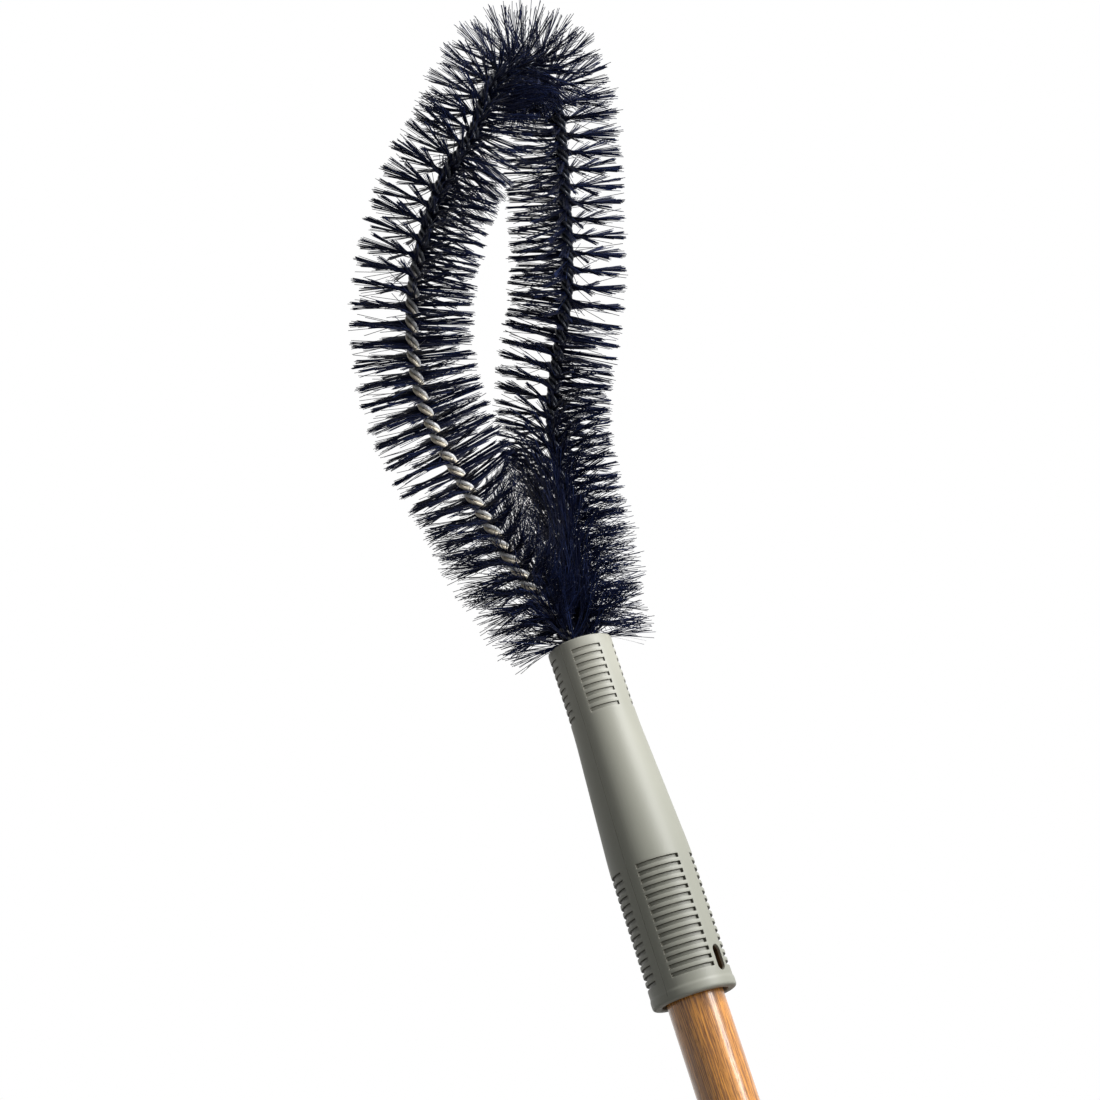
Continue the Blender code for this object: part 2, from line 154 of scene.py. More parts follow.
# How much of its brightness a surface keeps where it is darker: zinc, plastic, wood, pores
BLOTCH_KEPT = 0.7
FLOW_KEPT = 0.82
SWAY_KEPT = 0.6
PORE_KEPT = 0.35

# How much painted shade darkens the grooves' walls and floors, inside behind the slot and on the
# parting lines. Behind the slot it is full from this depth inwards, and out to this share of the
# slot's length from its middle
WALL_SHADE = 0.8
FLOOR_SHADE = 0.15
SLOT_SHADE = 0.95
PARTING_SHADE = 0.5
SHADE_DEPTH = 0.4 * MM
SHADE_REACH = 0.8

# The darker and the paler tone of the two hidden pieces
PLUG_TONES = ((0.012, 0.012, 0.012), (0.03, 0.03, 0.03))
SLEEVE_TONES = ((0.55, 0.54, 0.52), (0.7, 0.69, 0.67))

# The camera, solved from the socket's rings and grooves, with its sensor in millimetres
CAMERA_PLACE = Vector((-0.8066, -0.5557, 0.6765))
CAMERA_AHEAD = Vector((0.7791, 0.5357, 0.3256))
CAMERA_UP = Vector((-0.0779, -0.4326, 0.8982))
SENSOR_WIDTH = 36

# The loop's middle, which both lamps face, and each lamp from there with its width and height
LOOP_PLACE = Vector((0, 0, 1.06))
KEY_PLACE = LOOP_PLACE + Vector((0.285, -0.959, 0.71))
KEY_SIZE = (0.3, 0.3)
STRIP_PLACE = LOOP_PLACE + Vector((0.12, -0.792, 0.05))
STRIP_SIZE = (0.32, 0.9)

FLOOR_RADIUS = 6
FLOOR_SIDES = 96
FLOOR_GLOW = 0.4

# Across (of the width), forward (of the hook) and up (of the height)
ROUTE_SHARES = (
    (-0.054, -0.009, 0.012),
    (-0.074, -0.031, 0.044),
    (-0.115, -0.062, 0.094),
    (-0.199, -0.101, 0.178),
    (-0.291, -0.116, 0.268),
    (-0.393, -0.124, 0.357),
    (-0.494, -0.113, 0.443),
    (-0.575, -0.050, 0.531),
    (-0.626, 0.061, 0.614),
    (-0.643, 0.200, 0.693),
    (-0.618, 0.360, 0.768),
    (-0.573, 0.527, 0.835),
    (-0.491, 0.715, 0.890),
    (-0.451, 0.840, 0.946),
    (-0.353, 0.948, 0.988),
    (-0.158, 0.999, 0.999),
    (0.004, 0.956, 0.972),
    (0.137, 0.820, 0.897),
    (0.219, 0.687, 0.822),
    (0.287, 0.561, 0.751),
    (0.342, 0.415, 0.669),
    (0.354, 0.270, 0.596),
    (0.338, 0.142, 0.519),
    (0.309, 0.066, 0.442),
    (0.272, 0.046, 0.361),
    (0.209, 0.037, 0.274),
    (0.148, 0.039, 0.186),
    (0.091, 0.033, 0.100),
    (0.062, 0.018, 0.040),
)


def number(name, description, default, kind=FloatProperty, **more):
    return kind(name=name, description=description, default=default, **more)


def count(name, description, default):
    return number(name, description, default, IntProperty)


def length(name, description, millimetres):
    return number(name, description, millimetres * MM, unit="LENGTH", precision=4)


def angle(name, description, degrees):
    return number(name, description, math.radians(degrees), unit="ROTATION")


def share(name, description, default):
    return number(name, description, default, subtype="FACTOR")


def colour(name, description, default):
    return number(name, description, default, FloatVectorProperty, size=3, min=0, max=1,
                  subtype="COLOR")


class LoopSizes(bpy.types.PropertyGroup):
    """The bent route and the four wires twisted along it."""
    height: length("Height", "Crown of the loop above the socket's rim", 239)
    width: length("Width", "Loop across its stems' plane", 82)
    hook: length("Hook", "How far the crown hooks forward", 82)
    stem_spread: length("Stem spread", "Each stem from the socket's axis", 4)
    stem_length: length("Stem length", "Straight stem below the rim", 30)
    stem_recess: length("Stem recess", "Where the stems start to bend, below the rim", 2)
    twist: length("Twist pitch", "One turn of the wires", 14.8)
    wire: length("Wire", "Diameter of each wire", 1.8)
    across: length("Across", "Wire's centre from the core's middle, along the fill", 1.25)
    off_fill: length("Off the fill", "Wire's centre from the core's middle, off the fill", 1.55)
    steps: count("Steps", "Points in a turn", 16)
    sides: count("Sides", "Facets round a wire", 10)
    metal: colour("Metal", "Galvanised wire", (0.93, 0.94, 0.95))
    # A warm tint painted on one wire of each pair: painted warm reflection
    warm_reflection_metal: colour("Warm metal", "The other wire of each pair", (0.88, 0.79, 0.62))
    # The dark colour painted on the wires where the fill shades them: painted shade
    painted_shade: colour("Soiled", "Wire where it is dull", (0.030, 0.036, 0.052))


class FillSizes(bpy.types.PropertyGroup):
    """The strip of filaments pinched between the wires."""
    reach: length("Reach", "Filament from the core to its tip", 26.5)
    filament: length("Filament", "Diameter of a filament", 0.31)
    spacing: length("Spacing", "From one filament to the next along the core", 0.071)
    thickness: length("Thickness", "Strip of filaments between the wires", 1.9)
    rise: length("Rise", "Where the fill starts above the rim", -3)
    bend: share("Bend", "How far a tip strays, of its reach", 0.02)
    splay: angle("Splay", "How far a tuft leans along the core", 4)
    clump: length("Clump", "Stretch of the core whose filaments stick together", 1.0)
    pull: share("Pull", "How far a tip is drawn to its tuft", 0.88)
    strays: share("Strays", "Filaments that lie in no tuft", 0.1)
    comb: angle("Comb", "How far the fill is combed over, high in the loop", 10)
    sweep: angle("Sweep", "How far the fill leans up, low in the loop", 27)
    foot_lean: angle("Foot lean", "How far the fill stands up just over the rim", 62)
    press: share("Press", "How far a crowded filament is turned up, of its reach", 1.0)
    yielding: share("Yielding", "How far a crowded filament is pushed back", 0.3)
    tangle: share("Tangle", "How far a crowded tip strays, of its reach", 0.15)
    rim_clear: length("Rim clearance", "Filaments above the socket's rim", 0.5)
    rim_reach: length("Rim reach", "Where filaments start to droop, from the axis", 16)
    droop: share("Droop", "Fall of the lowest filaments beyond the rim", 0.6)
    pieces: count("Pieces", "Lengths of the strip", 12)
    joints: count("Joints", "Points along a filament", 5)
    deep: colour("Deep colour", "Filament in shade", (0.003, 0.005, 0.0225))
    glint: colour("Glint", "Paler filament", (0.015, 0.027, 0.092))


class SocketSizes(bpy.types.PropertyGroup):
    """The moulded socket's outline, bore, grooves and slot."""
    body: length("Body", "Diameter over the body", 35)
    neck: length("Neck", "Diameter over the neck", 28)
    taper_start: length("Taper start", "Height where the body starts to narrow", 59)
    taper_end: length("Taper end", "Height where the neck starts", 119)
    ease: length("Ease", "Rounding at both ends of the taper", 7)
    lip: length("Lip", "Height of the lip round the mouth", 4.2)
    lip_step: length("Lip step", "How far the lip stands out", 0.35)
    lip_ease: length("Lip ease", "Half the height over which the lip swells", 1)
    lip_edge: length("Lip edge", "Rounding at the mouth", 1.6)
    rim_edge: length("Rim edge", "Rounding at the rim", 0.8)
    mouth_bore: length("Mouth bore", "Bore at the mouth, radius", 14)
    seat_bore: length("Seat bore", "Bore round the pole's end, radius", 12.4)
    neck_bore: length("Neck bore", "Bore of the neck, radius", 10.3)
    seat_depth: length("Seat depth", "Where the pole's end sits", 88)
    pitch: length("Groove pitch", "From one groove to the next", 3.3)
    groove: length("Groove", "Height of a groove", 1.55)
    depth: length("Depth", "Depth of a groove on the body", 1.2)
    neck_depth: length("Neck depth", "Depth of a groove on the neck", 0.75)
    edge: length("Edge", "Rounded wall of a groove", 0.25)
    crown: length("Crown", "How far a land between grooves is rounded", 0.1)
    body_first: length("First body groove", "Height of its middle", 9.5)
    neck_first: length("First neck groove", "Height of its middle", 124.8)
    body_grooves: count("Body grooves", "Grooves in a panel", 15)
    neck_grooves: count("Neck grooves", "Grooves in a panel", 9)
    panels: count("Panels", "Grip panels round the socket", 4)
    body_panel: angle("Body panel", "Width of a grip panel on the body", 62)
    neck_panel: angle("Neck panel", "Width of a grip panel on the neck", 53)
    panel_turn: angle("Panel turn", "Where the first panel is centred", 45)
    ridge: length("Parting line", "How far the parting line stands out", 0.1)
    slot_width: length("Slot width", "Width of the slot", 4.6)
    slot_length: length("Slot length", "Length of the slot", 10.6)
    slot_centre: length("Slot centre", "Height of the slot's middle", 11.7)
    slot_edge: length("Slot edge", "Chamfer round the slot", 0.3)
    slot_wall: length("Slot wall", "Wall left in front of the hollow behind the slot", 1.5)
    slot_hollow: length("Slot hollow", "How far the hollow passes the slot's sides", 1.5)
    ledge: length("Ledge", "How far the ledge under the plug stands in", 1.1)
    ledge_height: length("Ledge height", "From its foot to its top", 2.5)
    ledge_gap: length("Ledge gap", "From its top to the plug", 0.3)
    # The plastic is painted paler at the neck and darker at the mouth: painted light and shade, as
    # the light falls more on the neck
    plastic: colour("Plastic", "Warm grey plastic at the neck", (0.34, 0.336, 0.286))
    shaded_plastic: colour("Body plastic", "The same plastic at the mouth", (0.248, 0.25, 0.21))
    # The dark colour painted into the grooves, inside behind the slot and on the parting lines:
    # painted shade
    painted_shade_tone: colour("Soil", "What darkens the grooves and the slot", (0.045, 0.038, 0.028))


class PoleSizes(bpy.types.PropertyGroup):
    """The turned pole and its wood."""
    edge: length("Edge", "Rounding of both ends", 1.5)
    sides: count("Sides", "Facets round the pole", 96)
    wood: colour("Wood", "Varnished wood between its streaks", (0.74, 0.31, 0.047))
    streak: colour("Streak", "Late wood and pores", (0.15, 0.050, 0.010))


class StudioSizes(bpy.types.PropertyGroup):
    """Camera, lamps and floor."""
    focal: length("Focal length", "Lens of the camera", 78.545)
    key: number("Key", "Key lamp, watts", 15)
    fill: number("Fill", "Tall strip lamp, watts", 10)
    sky: share("Sky", "Light that comes from all sides", 0.13)
    floor: colour("Floor", "Pale floor", (0.80, 0.80, 0.80))


SETS = {"brush_loop": LoopSizes, "brush_fill": FillSizes, "brush_socket": SocketSizes,
        "brush_pole": PoleSizes, "brush_studio": StudioSizes}


def operator_pair(operation):
    """An operator on signals and its reflected form."""
    return (lambda one, two: one.sheet.sum(operation, one, two),
            lambda one, two: one.sheet.sum(operation, two, one))


class Signal:
    """A node's output, on which sums are written: each one adds its node. @ is a dot product."""

    def __init__(self, sheet, socket):
        self.sheet = sheet
        self.socket = socket

    def other(self, name):
        """Another output of the same node."""
        return Signal(self.sheet, live(self.socket.node.outputs, name))

    __add__, __radd__ = operator_pair("ADD")
    __sub__, __rsub__ = operator_pair("SUBTRACT")
    __mul__, __rmul__ = operator_pair("MULTIPLY")
    __truediv__, __rtruediv__ = operator_pair("DIVIDE")
    __pow__, __rpow__ = operator_pair("POWER")
    __matmul__, __rmatmul__ = operator_pair("DOT_PRODUCT")


def live(sockets, key):
    """The socket of that name or number which the node's settings leave in use."""
    if isinstance(key, int):
        return sockets[key]
    return next(socket for socket in sockets if socket.name == key and socket.enabled)


def is_vector(value):
    return isinstance(value, Vector) or isinstance(value, Signal) and value.socket.type == "VECTOR"


class Sheet:
    """A node tree, with one method that adds any node."""

    def __init__(self, tree):
        self.tree = tree

    def node(self, kind, inputs=(), output=0, **settings):
        """Add a node, set what it does, then its inputs. Returns one of its outputs."""
        made = self.tree.nodes.new(kind)
        for name, value in settings.items():
            setattr(made, name, value)
        for key, value in dict(inputs).items():
            socket = live(made.inputs, key)
            if isinstance(value, Signal):
                self.tree.links.new(value.socket, socket)
            else:
                socket.default_value = value
        in_use = [socket for socket in made.outputs if socket.enabled]
        return Signal(self, live(in_use, output))

    def sum(self, operation, one, two=0.0):
        """A sum of two values: Vector Math where either is a vector, else Math."""
        if is_vector(one) and is_vector(two):
            return self.node("ShaderNodeVectorMath", {0: one, 1: two}, operation=operation)
        if is_vector(one) or is_vector(two):
            vector, scale = (one, two) if is_vector(one) else (two, one)
            return self.node("ShaderNodeVectorMath", {0: vector, "Scale": scale}, operation="SCALE")
        return self.node("ShaderNodeMath", {0: one, 1: two}, operation=operation)

    def vector(self, x, y, z):
        return self.node("ShaderNodeCombineXYZ", {"X": x, "Y": y, "Z": z})

    def axes(self, place):
        """A place's x, y and z, and its distance from the part's axis."""
        x = self.node("ShaderNodeSeparateXYZ", {"Vector": place}, "X")
        y, z = x.other("Y"), x.other("Z")
        return x, y, z, self.sum("SQRT", x * x + y * y)

    def between(self, value, low, high, start=0.0, end=1.0, ease="SMOOTHSTEP"):
        """Carries a value from low..high to start..end, and holds it there."""
        return self.node("ShaderNodeMapRange",
                         {"Value": value, "From Min": low, "From Max": high,
                          "To Min": start, "To Max": end},
                         interpolation_type=ease, clamp=True)

    def blend(self, share_of, one, two):
        """A colour between two, each a signal or three numbers."""
        one, two = (tone if isinstance(tone, Signal) else (*tone, 1) for tone in (one, two))
        return self.node("ShaderNodeMix", {"Factor": share_of, "A": one, "B": two},
                         data_type="RGBA")


class Growth(Sheet):
    """A geometry tree with named inputs for its sizes and counts."""

    def __init__(self, name, sizes, counts):
        super().__init__(bpy.data.node_groups.new(name, "GeometryNodeTree"))
        inputs = {"Geometry": "Geometry", **dict.fromkeys(sizes, "Float"),
                  **dict.fromkeys(counts, "Int"), "material": "Material"}
        for label, kind in inputs.items():
            self.tree.interface.new_socket(label, in_out="INPUT",
                                           socket_type=f"NodeSocket{kind}")
        self.tree.interface.new_socket("Geometry", in_out="OUTPUT",
                                       socket_type="NodeSocketGeometry")
        self.start = self.tree.nodes.new("NodeGroupInput")

    def __getitem__(self, name):
        """One of the tree's inputs."""
        return Signal(self, live(self.start.outputs, name))

    def slope(self, name):
        """The tangent of an angle that the tree is given."""
        return self.sum("TANGENT", self[name])

    def named(self, name, kind="FLOAT"):
        return self.node("GeometryNodeInputNamedAttribute", {"Name": name}, data_type=kind)

    def way(self, name):
        return self.named(name, "FLOAT_VECTOR")

    def place(self):
        return self.node("GeometryNodeInputPosition")

    def random(self, low, high, seed, own=None):
        """A random number or vector for each point, or one that points of one own share."""
        kind = "FLOAT_VECTOR" if isinstance(low, tuple) else "FLOAT"
        inputs = {"Min": low, "Max": high, "Seed": seed}
        if own is not None:
            inputs["ID"] = own
        return self.node("FunctionNodeRandomValue", inputs, data_type=kind)

    def store(self, geometry, name, value, kind="FLOAT"):
        return self.node("GeometryNodeStoreNamedAttribute",
                         {"Geometry": geometry, "Name": name, "Value": value}, data_type=kind)

    def moved(self, geometry, **to):
        return self.node("GeometryNodeSetPosition", {"Geometry": geometry, **to})

    def tube(self, line, sides, radius):
        """A closed tube along a line."""
        circle = self.node("GeometryNodeCurvePrimitiveCircle",
                           {"Resolution": sides, "Radius": radius}, mode="RADIUS")
        return self.node("GeometryNodeCurveToMesh",
                         {"Curve": line, "Profile Curve": circle, "Fill Caps": True})

    def close(self, geometry):
        """End the tree: instances made real, and one material."""
        real = self.node("GeometryNodeRealizeInstances", {"Geometry": geometry})
        dressed = self.node("GeometryNodeSetMaterial",
                            {"Geometry": real, "Material": self["material"]})
        end = self.tree.nodes.new("NodeGroupOutput")
        self.tree.links.new(dressed.socket, end.inputs["Geometry"])
        return self.tree


def placed(name, data):
    """A new object in the scene."""
    thing = bpy.data.objects.new(name, data)
    bpy.context.scene.collection.objects.link(thing)
    return thing


def carry(mesh, name, values):
    """Give each point of a mesh a number, or a vector where each value has three numbers."""
    kind, field = ("FLOAT", "value") if np.ndim(values) == 1 else ("FLOAT_VECTOR", "vector")
    layer = mesh.attributes.new(name, kind, "POINT")
    layer.data.foreach_set(field, np.ravel(values))


def picked(sizes, names):
    """Some of a set of sizes, by name."""
    return {name: getattr(sizes, name) for name in names}


def grown(name, mesh, steps):
    """A mesh run through geometry trees, as (tree, sizes, material), kept as a plain mesh."""
    thing = placed(name, mesh)
    for tree, sizes, surface in steps:
        modifier = thing.modifiers.new(tree.name, "NODES")
        modifier.node_group = tree
        sockets = {item.name: item.identifier for item in tree.interface.items_tree
                   if item.in_out == "INPUT"}
        for label, value in {**sizes, "material": surface}.items():
            modifier[sockets[label]] = value
    return plain(thing)


def plain(thing):
    """Keep what an object's modifiers make as its own mesh."""
    depsgraph = bpy.context.evaluated_depsgraph_get()
    made = bpy.data.meshes.new_from_object(thing.evaluated_get(depsgraph),
                                           preserve_all_data_layers=True, depsgraph=depsgraph)
    thing.modifiers.clear()
    thing.data = made
    made.name = thing.name
    return thing


def fitted(thing, body, slot, *nodes):
    """Seat a finished piece on its body in place of the nodes that it stands for."""
    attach(thing, body)
    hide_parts(*nodes)


def smooth_curve(points, samples=4000):
    """Natural cubic spline through the points, by chord length."""
    gaps = np.linalg.norm(np.diff(points, axis=0), axis=1)
    at = np.concatenate(([0.0], np.cumsum(gaps)))
    n = len(points)
    system = np.eye(n)
    right = np.zeros_like(points)
    for i in range(1, n - 1):
        system[i, i - 1:i + 2] = gaps[i - 1], 2 * (gaps[i - 1] + gaps[i]), gaps[i]
        right[i] = 6 * ((points[i + 1] - points[i]) / gaps[i]
                        - (points[i] - points[i - 1]) / gaps[i - 1])
    bend = np.linalg.solve(system, right)
    where = np.linspace(0, at[-1], samples)
    k = np.clip(np.searchsorted(at, where, side="right") - 1, 0, n - 2)
    h = gaps[k][:, None]
    a = (at[k + 1] - where)[:, None] / h
    b = 1 - a
    return (a * points[k] + b * points[k + 1]
            + ((a ** 3 - a) * bend[k] + (b ** 3 - b) * bend[k + 1]) * h ** 2 / 6)


def rising(value, low, high):
    """Eases from 0 at the low end to 1 at the high end."""
    t = np.clip((value - low) / (high - low), 0, 1)
    return t * t * (3 - 2 * t)


def swell(value, start, full, end):
    """Eases from 0 at the start to 1 where it's full, and back to 0 at the end."""
    return rising(value, start, full) * rising(value, end, full)


class Core:
    """The loop's centreline, with a side direction that turns as little as it can."""

    def __init__(self, sizes):
        self.centre = smooth_curve(self.route(sizes))
        steps = np.linalg.norm(np.diff(self.centre, axis=0), axis=1)
        self.run = np.concatenate(([0.0], np.cumsum(steps)))
        tangent = np.gradient(self.centre, axis=0)
        self.tangent = tangent / np.linalg.norm(tangent, axis=1)[:, None]
        self.side = np.empty_like(self.centre)
        self.side[0] = (1, 0, 0)
        for i in range(1, len(self.centre)):
            along = self.tangent[i]
            flat = self.side[i - 1] - along * self.side[i - 1].dot(along)
            self.side[i] = flat / np.linalg.norm(flat)
        turning = np.gradient(self.tangent, axis=0) / np.gradient(self.run)[:, None]
        self.bend = np.linalg.norm(turning, axis=1) * CROWD_NEAR

    @staticmethod
    def route(sizes):
        heights = np.linspace(RIM - sizes.stem_length, RIM - sizes.stem_recess, STEM_POINTS)
        left = [(-sizes.stem_spread, 0, z) for z in heights]
        right = [(sizes.stem_spread, 0, z) for z in reversed(heights)]
        loop = [(x * sizes.width, -y * sizes.hook, RIM + z * sizes.height)
                for x, y, z in ROUTE_SHARES]
        return np.array(left + loop + right)

    def above(self, height):
        """Where the route first and last passes a height."""
        over = np.flatnonzero(self.centre[:, 2] > height)
        return self.run[over[0]], self.run[over[-1]]

    def at(self, runs, values):
        """The route's values at distances along it."""
        return np.array([np.interp(runs, self.run, column) for column in values.T]).T

    def line(self, name, start, end, step):
        """A stretch of the core as a mesh line that carries its directions and shares."""
        runs = np.linspace(start, end, max(2, round((end - start) / step) + 1))
        centre, tangent = self.at(runs, self.centre), self.at(runs, self.tangent)
        mesh = bpy.data.meshes.new(name)
        mesh.from_pydata(centre, [(i, i + 1) for i in range(len(runs) - 1)], [])
        crowd, toward = self.crowd(runs, centre)
        heights = centre[:, 2] - RIM
        swept = np.where(runs < self.run[-1] / 2, FIRST_SHARE * swell(heights, *FIRST_SWEEP),
                         swell(heights, *LAST_SWEEP))
        # Painted shade on the wires: darker far along the route and on the stems just over the rim,
        # where the fill covers them
        shaded_by_fill = np.maximum(rising(runs, FILL_SHADE_START, FILL_SHADE_FULL),
                          STUB_SHADE_SHARE * rising(heights, STUB_SHADE_START, STUB_SHADE_FULL))
        table = {"tangent": tangent, "side": self.at(runs, self.side), "toward": toward,
                 "run": runs, "crowd": crowd, "curl": np.interp(runs, self.run, self.bend),
                 "combed": rising(heights, COMB_START, COMB_FULL), "swept": swept,
                 "foot": rising(heights, FOOT_START, FOOT_FULL), "shaded_by_fill": shaded_by_fill,
                 "upward": np.sign(tangent[:, 2])}
        for label, values in table.items():
            carry(mesh, label, values)
        return mesh

    def crowd(self, runs, places):
        """How closely another stretch presses on the filaments, from 0 to 1, and its way."""
        shares, ways = [], []
        for run, place in zip(runs, places):
            others = self.centre[np.abs(self.run - run) > CROWD_APART] - place
            gaps = np.linalg.norm(others, axis=1)
            nearest = gaps.argmin()
            shares.append(rising(gaps[nearest], CROWD_FAR, CROWD_NEAR))
            ways.append(others[nearest] / gaps[nearest])
        return np.array(shares), np.array(ways)


def twisted(sheet, run):
    """The fill's direction at a distance along the core: it turns left-handed."""
    turn = run * -math.tau / sheet["pitch"]
    side = sheet.way("side")
    square = sheet.sum("CROSS_PRODUCT", sheet.way("tangent"), side)
    return side * sheet.sum("COSINE", turn) + square * sheet.sum("SINE", turn)


def wire_tree():
    """A round wire wound along the core."""
    sheet = Growth("twisted wire", ("pitch", "across", "off_fill", "wire"), ("sides",))
    fill_way = twisted(sheet, sheet.named("run"))
    off_way = sheet.sum("CROSS_PRODUCT", sheet.way("tangent"), fill_way)
    offset = fill_way * sheet["across"] + off_way * sheet["off_fill"]
    wound = sheet.moved(sheet["Geometry"], Offset=offset)
    line = sheet.node("GeometryNodeMeshToCurve", {"Mesh": wound})
    return sheet.close(sheet.tube(line, sheet["sides"], sheet["wire"] * 0.5))


def strand(sheet):
    """One straight filament of unit length and width, which knows how far along it is."""
    line = sheet.node("GeometryNodeCurvePrimitiveLine", {"Start": (0, 0, 0), "End": (0, 0, 1)})
    line = sheet.node("GeometryNodeResampleCurve", {"Curve": line, "Count": sheet["joints"]},
                      mode="COUNT")
    tube = sheet.tube(line, STRAND_SIDES, 0.5)
    return sheet.store(tube, "along", sheet.place() @ Vector((0, 0, 1)))


def leant(sheet, way):
    """A filament's way, leant along the core: combed over high up, swept up low down."""
    comb = (way @ COMB_WAY) * sheet.slope("comb") * sheet.named("combed")
    aside = sheet.sum("MAXIMUM", way @ SWEEP_WAY, 0.0)
    sweep = sheet.sum("TANGENT", sheet["sweep"] * sheet.named("swept") * aside)
    forward = way @ FOOT_WAY
    stood = forward * forward * sheet.slope("foot_lean") * sheet.named("foot")
    lean = (sweep + stood) * sheet.named("upward") - comb
    return way + sheet.way("tangent") * lean


FILL_GIVEN = ("spacing", "reach", "filament", "bend", "thickness", "splay", "clump", "pull",
              "strays", "comb", "sweep", "foot_lean", "press", "yielding", "tangle", "rim_reach",
              "droop")


def fill_tree():
    """Filaments pinched by the twisted wires: each leaves the core on both sides."""
    sheet = Growth("bristle fill", ("pitch", "rim", *FILL_GIVEN), ("joints", "seed"))
    seed = sheet["seed"]
    reach = sheet["reach"]
    line = sheet.node("GeometryNodeMeshToCurve", {"Mesh": sheet["Geometry"]})
    line = sheet.node("GeometryNodeResampleCurve", {"Curve": line, "Length": sheet["spacing"]},
                      mode="LENGTH")
    points = sheet.node("GeometryNodeCurveToPoints", {"Curve": line}, mode="EVALUATED")
    both = sheet.node("GeometryNodeDuplicateElements", {"Geometry": points, "Amount": 2},
                      domain="POINT")
    side = both.other("Duplicate Index")
    way = side * 2 - 1
    run = sheet.named("run")
    tangent = sheet.way("tangent")
    crowd = sheet.named("crowd")

    # A tuft: the filaments of one short stretch, drawn to one tip
    tuft = sheet.sum("FLOOR", run / sheet["clump"])
    tuft_run = (tuft + 0.5) * sheet["clump"]
    tuft_lean = sheet.random(-1, 1, seed + 1, tuft * 2 + side) * sheet.slope("splay")
    tuft_lean = tuft_lean * (1 + crowd * LEANS_MORE)
    tuft_way = leant(sheet, twisted(sheet, tuft_run) * way) + tangent * tuft_lean

    # A filament of its own
    out = twisted(sheet, run) * way
    stray = sheet.sum("LESS_THAN", sheet.random(0, 1, seed + 2), sheet["strays"])
    lean = sheet.random(-1, 1, seed + 3) * sheet.slope("splay")
    heading = leant(sheet, out) + tangent * (lean * (1 + stray * LEANS_MORE))
    toward = sheet.way("toward")
    pressed = sheet.sum("MAXIMUM", out @ toward, 0.0) * crowd
    long = reach * sheet.random(*LENGTH_RANGE, seed + 4) * (1 - pressed * PRESSED_SHORTER)
    off = sheet.random(-0.5, 0.5, seed + 5) * sheet["thickness"]
    off = sheet.sum("CROSS_PRODUCT", tangent, out) * off
    around = sheet.random((-1, -1, -1), (1, 1, 1), seed + 6)
    pull = sheet["pull"] * (1 - stray) * sheet.random(*PULL_RANGE, seed + 7)
    drawn = (tuft_way - heading) * (reach * pull) + tangent * (tuft_run - run) * pull - off * pull

    # Where the loop crowds it, the fill is tangled, pushed back and turned up
    tangled = sheet.sum("MAXIMUM", crowd, sheet.named("curl") * CURL_SHARE)
    loose = around * (reach * (sheet["bend"] + tangled * sheet["tangle"]))
    turned_up = tangent * sheet.named("upward") * sheet["press"]
    loose = loose + (turned_up - toward * sheet["yielding"]) * (pressed * reach)
    geometry = sheet.store(both, "drawn", drawn, "FLOAT_VECTOR")
    geometry = sheet.store(geometry, "stray", loose, "FLOAT_VECTOR")
    geometry = sheet.store(geometry, "shade", sheet.random(0, 1, seed + 8))
    geometry = sheet.moved(geometry, Offset=off)
    turned = sheet.node("FunctionNodeAlignRotationToVector", {"Vector": heading}, axis="Z")
    spin = sheet.node("FunctionNodeAxisAngleToRotation",
                      {"Axis": (0, 0, 1), "Angle": sheet.random(0, math.tau, seed + 9)})
    turned = sheet.node("FunctionNodeRotateRotation", {"Rotation": turned, "Rotate By": spin},
                        rotation_space="LOCAL")
    width = sheet["filament"]
    strands = sheet.node("GeometryNodeInstanceOnPoints",
                         {"Points": geometry, "Instance": strand(sheet), "Rotation": turned,
                          "Scale": sheet.vector(width, width, long)})
    real = sheet.node("GeometryNodeRealizeInstances", {"Geometry": strands})
    along = sheet.named("along")
    bent = sheet.way("drawn") * along ** DRAWN_POWER + sheet.way("stray") * along ** STRAY_POWER
    return sheet.close(raised_off_rim(sheet, sheet.moved(real, Offset=bent)))


def raised_off_rim(sheet, geometry):
    """Filaments that would pass into the socket lie on its rim and droop beside it."""
    x, y, z, out = sheet.axes(sheet.place())
    past = sheet.sum("MAXIMUM", out - sheet["rim_reach"], 0.0)
    least = sheet["rim"] - past * sheet["droop"]
    return sheet.moved(geometry, Position=sheet.vector(x, y, sheet.sum("MAXIMUM", z, least)))


GROOVE_GIVEN = ("pitch", "groove", "depth", "edge", "crown")


def groove_tree():
    """Rows of short grooves in grip panels round a turned piece."""
    sheet = Growth("grip grooves", ("first", *GROOVE_GIVEN, "panel", "turn"),
                   ("count", "panels"))
    x, y, z, out = sheet.axes(sheet.place())
    pitch, edge = sheet["pitch"], sheet["edge"]
    half_groove = sheet["groove"] * 0.5
    spread = math.tau / sheet["panels"]
    swing = sheet.sum("ARCTAN2", y, x) - sheet["turn"]
    off_centre = sheet.sum("ABSOLUTE", swing - sheet.sum("ROUND", swing / spread) * spread)
    inside = (sheet["panel"] * 0.5 - off_centre) * out
    across = sheet.between(inside / edge, -0.5, 0.5)
    row = (z - sheet["first"]) / pitch
    last = sheet["count"] - 1
    nearest = sheet.sum("MINIMUM", sheet.sum("MAXIMUM", sheet.sum("ROUND", row), 0.0), last)
    off_row = sheet.sum("ABSOLUTE", row - nearest) * pitch
    groove = sheet.between((half_groove - off_row) / edge, -0.5, 0.5) * across
    groove = groove * sheet.named("outside")
    slump = sheet.between(off_row, pitch * 0.5, half_groove, ease="LINEAR")
    slump = slump * slump * across * sheet.named("outside")
    sunk = groove * sheet["depth"] + slump * (1 - groove) * sheet["crown"]
    inward = sheet.vector(x / out, y / out, 0.0) * (sunk * -1)
    cut = sheet.moved(sheet["Geometry"], Offset=inward)
    cut_before = sheet.named("groove")
    return sheet.close(sheet.store(cut, "groove", sheet.sum("MAXIMUM", cut_before, groove)))


